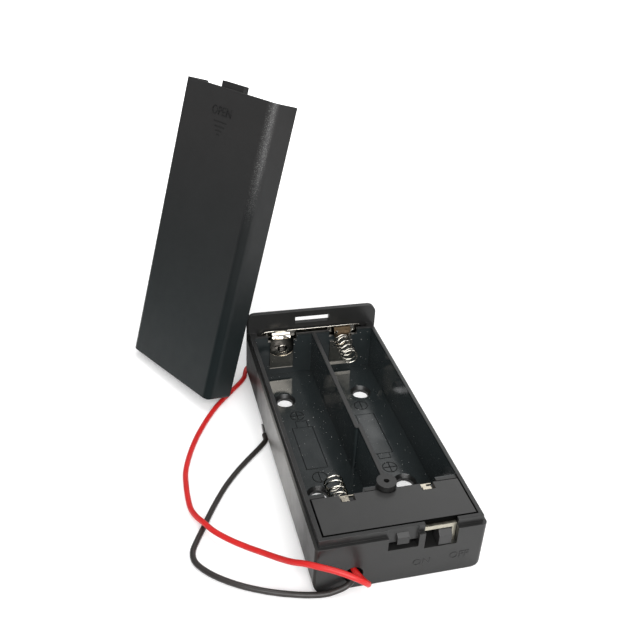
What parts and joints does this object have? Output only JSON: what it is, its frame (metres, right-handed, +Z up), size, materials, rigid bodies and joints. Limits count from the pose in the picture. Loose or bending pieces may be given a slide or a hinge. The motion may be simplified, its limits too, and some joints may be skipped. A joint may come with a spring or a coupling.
{
  "type": "battery holder",
  "caption": "Black two-bay holder for cylindrical cells with a slide switch, spring contacts, red and black leads, and its cover taken off and standing beside it.",
  "frame": {"origin": "middle of the tray's flat underside", "axes": "+Y along the bays toward the tall end wall, +X across the bays toward the switch side, +Z up out of the bays"},
  "size_m": [0.0831, 0.1484, 0.0975],
  "materials": {
    "black_plastic": "satin moulded plastic, finely textured outside, glossier inside",
    "nickel": "bright nickel plating on spring steel",
    "switch_metal": "dull beige nickel plating",
    "switch_board": "brown laminate",
    "red_insulation": "soft satin wire insulation",
    "black_insulation": "soft satin wire insulation",
    "solder": "bright solder"
  },
  "bodies": {
    "housing": {"tray": "black_plastic", "cover": "black_plastic", "compartment_plate": "black_plastic", "bridge_contact": "nickel", "far_spring": "nickel", "near_spring": "nickel", "negative_contact": "nickel", "positive_contact": "nickel", "switch_shell": "switch_metal", "switch_base": "switch_board", "switch_terminal_1": "nickel", "switch_terminal_2": "nickel", "switch_terminal_3": "nickel", "red_lead": "red_insulation", "black_lead": "black_insulation", "red_lead_tip": "solder", "black_lead_tip": "solder", "red_lead_inner": "red_insulation", "black_lead_inner": "black_insulation", "jumper_wire": "red_insulation", "solder_joints": "solder"},
    "slider": {"switch_slider": "black_plastic", "switch_wiper": "nickel"}
  },
  "joints": [
    {"name": "switch_slide", "type": "slide", "parent": "housing", "child": "slider", "axis": [1, 0, 0], "range_m": [-0.003, 0]}
  ]
}
